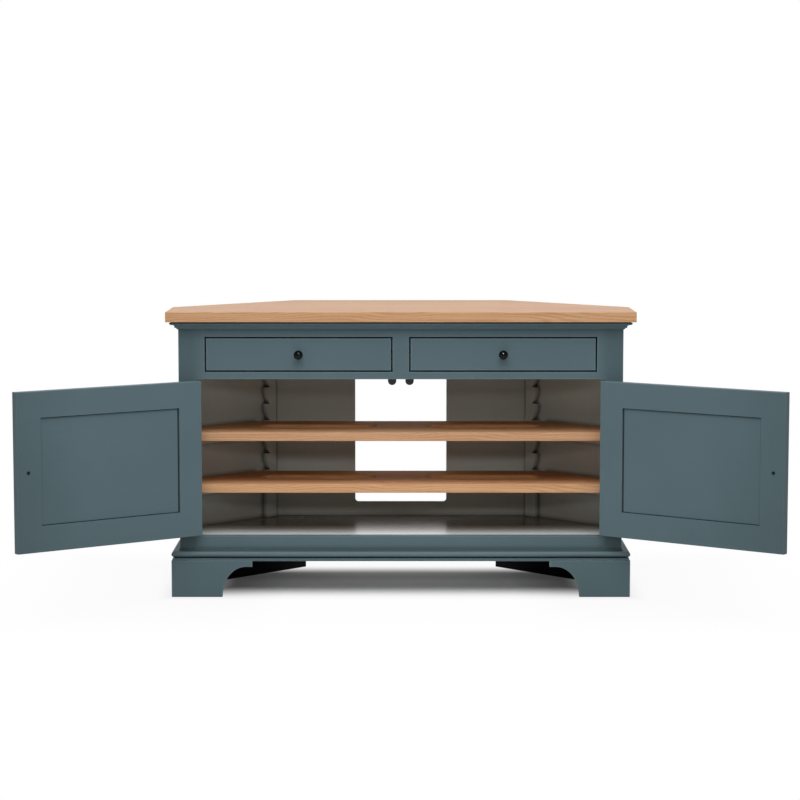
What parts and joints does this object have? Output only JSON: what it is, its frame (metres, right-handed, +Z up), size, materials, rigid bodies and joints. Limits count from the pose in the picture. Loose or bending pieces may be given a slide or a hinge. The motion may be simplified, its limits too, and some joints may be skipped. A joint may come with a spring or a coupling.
{
  "type": "corner television cabinet",
  "caption": "Corner television cabinet with 45 degree rear walls, an oak top, framed doors, drawers under the top and slotted oak shelves on sawtooth battens, standing on bracket feet.",
  "frame": {"origin": "on the floor, under the middle of the whole object's bounding box with its doors open as pictured", "axes": "+X to the viewer's right along the front, +Y from the front back to the corner, +Z up"},
  "size_m": [1.814, 0.7768, 0.7056],
  "materials": {
    "painted_wood": "satin blue-grey paint",
    "interior_paint": "satin warm grey paint",
    "oak": "pale lacquered oak",
    "dark_bronze": "dark bronzed, semi-gloss",
    "hinge_steel": "satin",
    "catch_plastic": "matt dark grey"
  },
  "bodies": {
    "cabinet": {"top_board": "oak", "cornice": "painted_wood", "stile_left": "painted_wood", "stile_right": "painted_wood", "top_rail": "painted_wood", "middle_rail": "painted_wood", "bottom_rail": "painted_wood", "drawer_divider": "painted_wood", "side_return_left": "painted_wood", "side_return_right": "painted_wood", "angled_wall_left": "painted_wood", "angled_wall_right": "painted_wood", "floor_panel": "interior_paint", "drawer_deck": "interior_paint", "back_panel": "interior_paint", "rear_rail": "painted_wood", "plinth_front": "painted_wood", "plinth_return_left": "painted_wood", "plinth_return_right": "painted_wood", "base_moulding": "painted_wood", "drawer_guide_centre": "oak", "drawer_guide_left": "oak", "drawer_guide_right": "oak", "rear_batten_left": "interior_paint", "rear_batten_right": "interior_paint", "front_batten_left": "interior_paint", "front_batten_right": "interior_paint", "lower_cleat_left": "interior_paint", "lower_cleat_right": "interior_paint", "upper_cleat_left": "interior_paint", "upper_cleat_right": "interior_paint", "lower_shelf": "oak", "upper_shelf": "oak", "door_catch_left": "catch_plastic", "door_catch_right": "catch_plastic", "hinge_lower_frame_leaf_left": "hinge_steel", "hinge_lower_frame_leaf_right": "hinge_steel", "hinge_upper_frame_leaf_left": "hinge_steel", "hinge_upper_frame_leaf_right": "hinge_steel"},
    "door_left": {"door_left_frame": "painted_wood", "door_left_panel": "painted_wood", "door_left_knob": "dark_bronze", "door_left_knob_nut": "dark_bronze", "door_left_hinge_lower_leaf": "hinge_steel", "door_left_hinge_upper_leaf": "hinge_steel"},
    "door_right": {"door_right_frame": "painted_wood", "door_right_panel": "painted_wood", "door_right_knob": "dark_bronze", "door_right_knob_nut": "dark_bronze", "door_right_hinge_lower_leaf": "hinge_steel", "door_right_hinge_upper_leaf": "hinge_steel"},
    "drawer_left": {"drawer_front_left": "painted_wood", "drawer_knob_left": "dark_bronze", "drawer_box_left": "oak", "drawer_bottom_left": "oak"},
    "drawer_right": {"drawer_front_right": "painted_wood", "drawer_knob_right": "dark_bronze", "drawer_box_right": "oak", "drawer_bottom_right": "oak"}
  },
  "joints": [
    {"name": "door_left_hinge", "type": "hinge", "parent": "cabinet", "child": "door_left", "pos_m": [-0.501, -0.08264, 0.3453], "axis": [0, 0, 1], "range_deg": [-25, 145]},
    {"name": "door_right_hinge", "type": "hinge", "parent": "cabinet", "child": "door_right", "pos_m": [0.501, -0.08264, 0.3453], "axis": [0, 0, 1], "range_deg": [-145, 25]},
    {"name": "drawer_left_slide", "type": "slide", "parent": "cabinet", "child": "drawer_left", "axis": [0, -1, 0], "range_m": [0, 0.14]},
    {"name": "drawer_right_slide", "type": "slide", "parent": "cabinet", "child": "drawer_right", "axis": [0, -1, 0], "range_m": [0, 0.14]}
  ]
}
